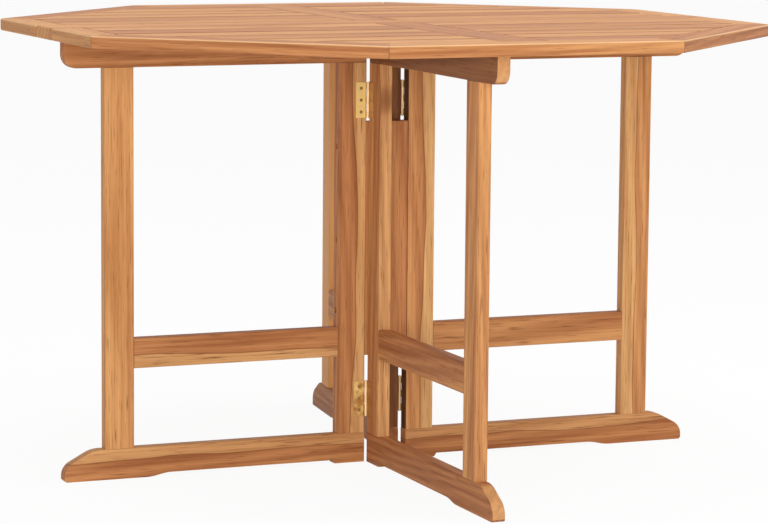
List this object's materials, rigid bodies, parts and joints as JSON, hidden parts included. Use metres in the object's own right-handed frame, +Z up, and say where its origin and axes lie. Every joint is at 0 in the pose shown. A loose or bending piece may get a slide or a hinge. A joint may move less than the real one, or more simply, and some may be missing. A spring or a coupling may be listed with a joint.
{
  "type": "folding garden table",
  "caption": "Eight-sided slatted hardwood garden table on a folding gate-leg base, with brass-hinged gates and two hinged leaves beside a fixed centre strip.",
  "frame": {"origin": "on the floor under the middle of the top", "axes": "+X along the fixed frames from left to right, +Y from the front leaf to the back leaf, +Z up"},
  "size_m": [1.2, 1.2, 0.75],
  "materials": {
    "hardwood": "satin oil",
    "brass": "polished",
    "steel": "zinc plated"
  },
  "bodies": {
    "fixed_frame": {"left_frame_foot": "hardwood", "left_frame_outer_post": "hardwood", "left_frame_inner_post": "hardwood", "left_frame_mid_rail": "hardwood", "left_frame_top_rail": "hardwood", "right_frame_foot": "hardwood", "right_frame_outer_post": "hardwood", "right_frame_inner_post": "hardwood", "right_frame_mid_rail": "hardwood", "right_frame_top_rail": "hardwood", "centre_panel": "hardwood", "centre_strip": "hardwood", "panel_screws": "steel", "strip_screws": "steel", "gate_hinge_post_plates": "brass", "gate_hinge_post_screws": "brass", "gate_hinge_pins": "brass", "leaf_hinge_strip_plates": "brass", "leaf_hinge_strip_screws": "brass", "leaf_hinge_pins": "brass"},
    "front_gate": {"front_gate_foot": "hardwood", "front_gate_outer_post": "hardwood", "front_gate_inner_post": "hardwood", "front_gate_mid_rail": "hardwood", "front_gate_top_rail": "hardwood", "front_gate_hinge_plates": "brass", "front_gate_hinge_screws": "brass"},
    "back_gate": {"back_gate_foot": "hardwood", "back_gate_outer_post": "hardwood", "back_gate_inner_post": "hardwood", "back_gate_mid_rail": "hardwood", "back_gate_top_rail": "hardwood", "back_gate_hinge_plates": "brass", "back_gate_hinge_screws": "brass"},
    "front_leaf": {"front_leaf_outer_board": "hardwood", "front_leaf_corner_boards": "hardwood", "front_leaf_side_boards": "hardwood", "front_leaf_stile": "hardwood", "front_leaf_slats_1": "hardwood", "front_leaf_slats_2": "hardwood", "front_leaf_slats_3": "hardwood", "front_leaf_slats_4": "hardwood", "front_leaf_slats_5": "hardwood", "front_leaf_slats_6": "hardwood", "front_leaf_hinge_plates": "brass", "front_leaf_hinge_screws": "brass"},
    "back_leaf": {"back_leaf_outer_board": "hardwood", "back_leaf_corner_boards": "hardwood", "back_leaf_side_boards": "hardwood", "back_leaf_stile": "hardwood", "back_leaf_slats_1": "hardwood", "back_leaf_slats_2": "hardwood", "back_leaf_slats_3": "hardwood", "back_leaf_slats_4": "hardwood", "back_leaf_slats_5": "hardwood", "back_leaf_slats_6": "hardwood", "back_leaf_hinge_plates": "brass", "back_leaf_hinge_screws": "brass"}
  },
  "joints": [
    {"name": "front_gate_swing", "type": "hinge", "parent": "fixed_frame", "child": "front_gate", "pos_m": [-0.0371, -0.0136, 0.36], "axis": [0, 0, -1], "range_deg": [-1, 89]},
    {"name": "back_gate_swing", "type": "hinge", "parent": "fixed_frame", "child": "back_gate", "pos_m": [0.0371, 0.0136, 0.36], "axis": [0, 0, -1], "range_deg": [-8, 82]},
    {"name": "front_leaf_lift", "type": "hinge", "parent": "fixed_frame", "child": "front_leaf", "pos_m": [0, -0.0425, 0.732], "axis": [-1, 0, 0], "range_deg": [0, 12]},
    {"name": "back_leaf_lift", "type": "hinge", "parent": "fixed_frame", "child": "back_leaf", "pos_m": [0, 0.0425, 0.732], "axis": [1, 0, 0], "range_deg": [0, 12]}
  ]
}
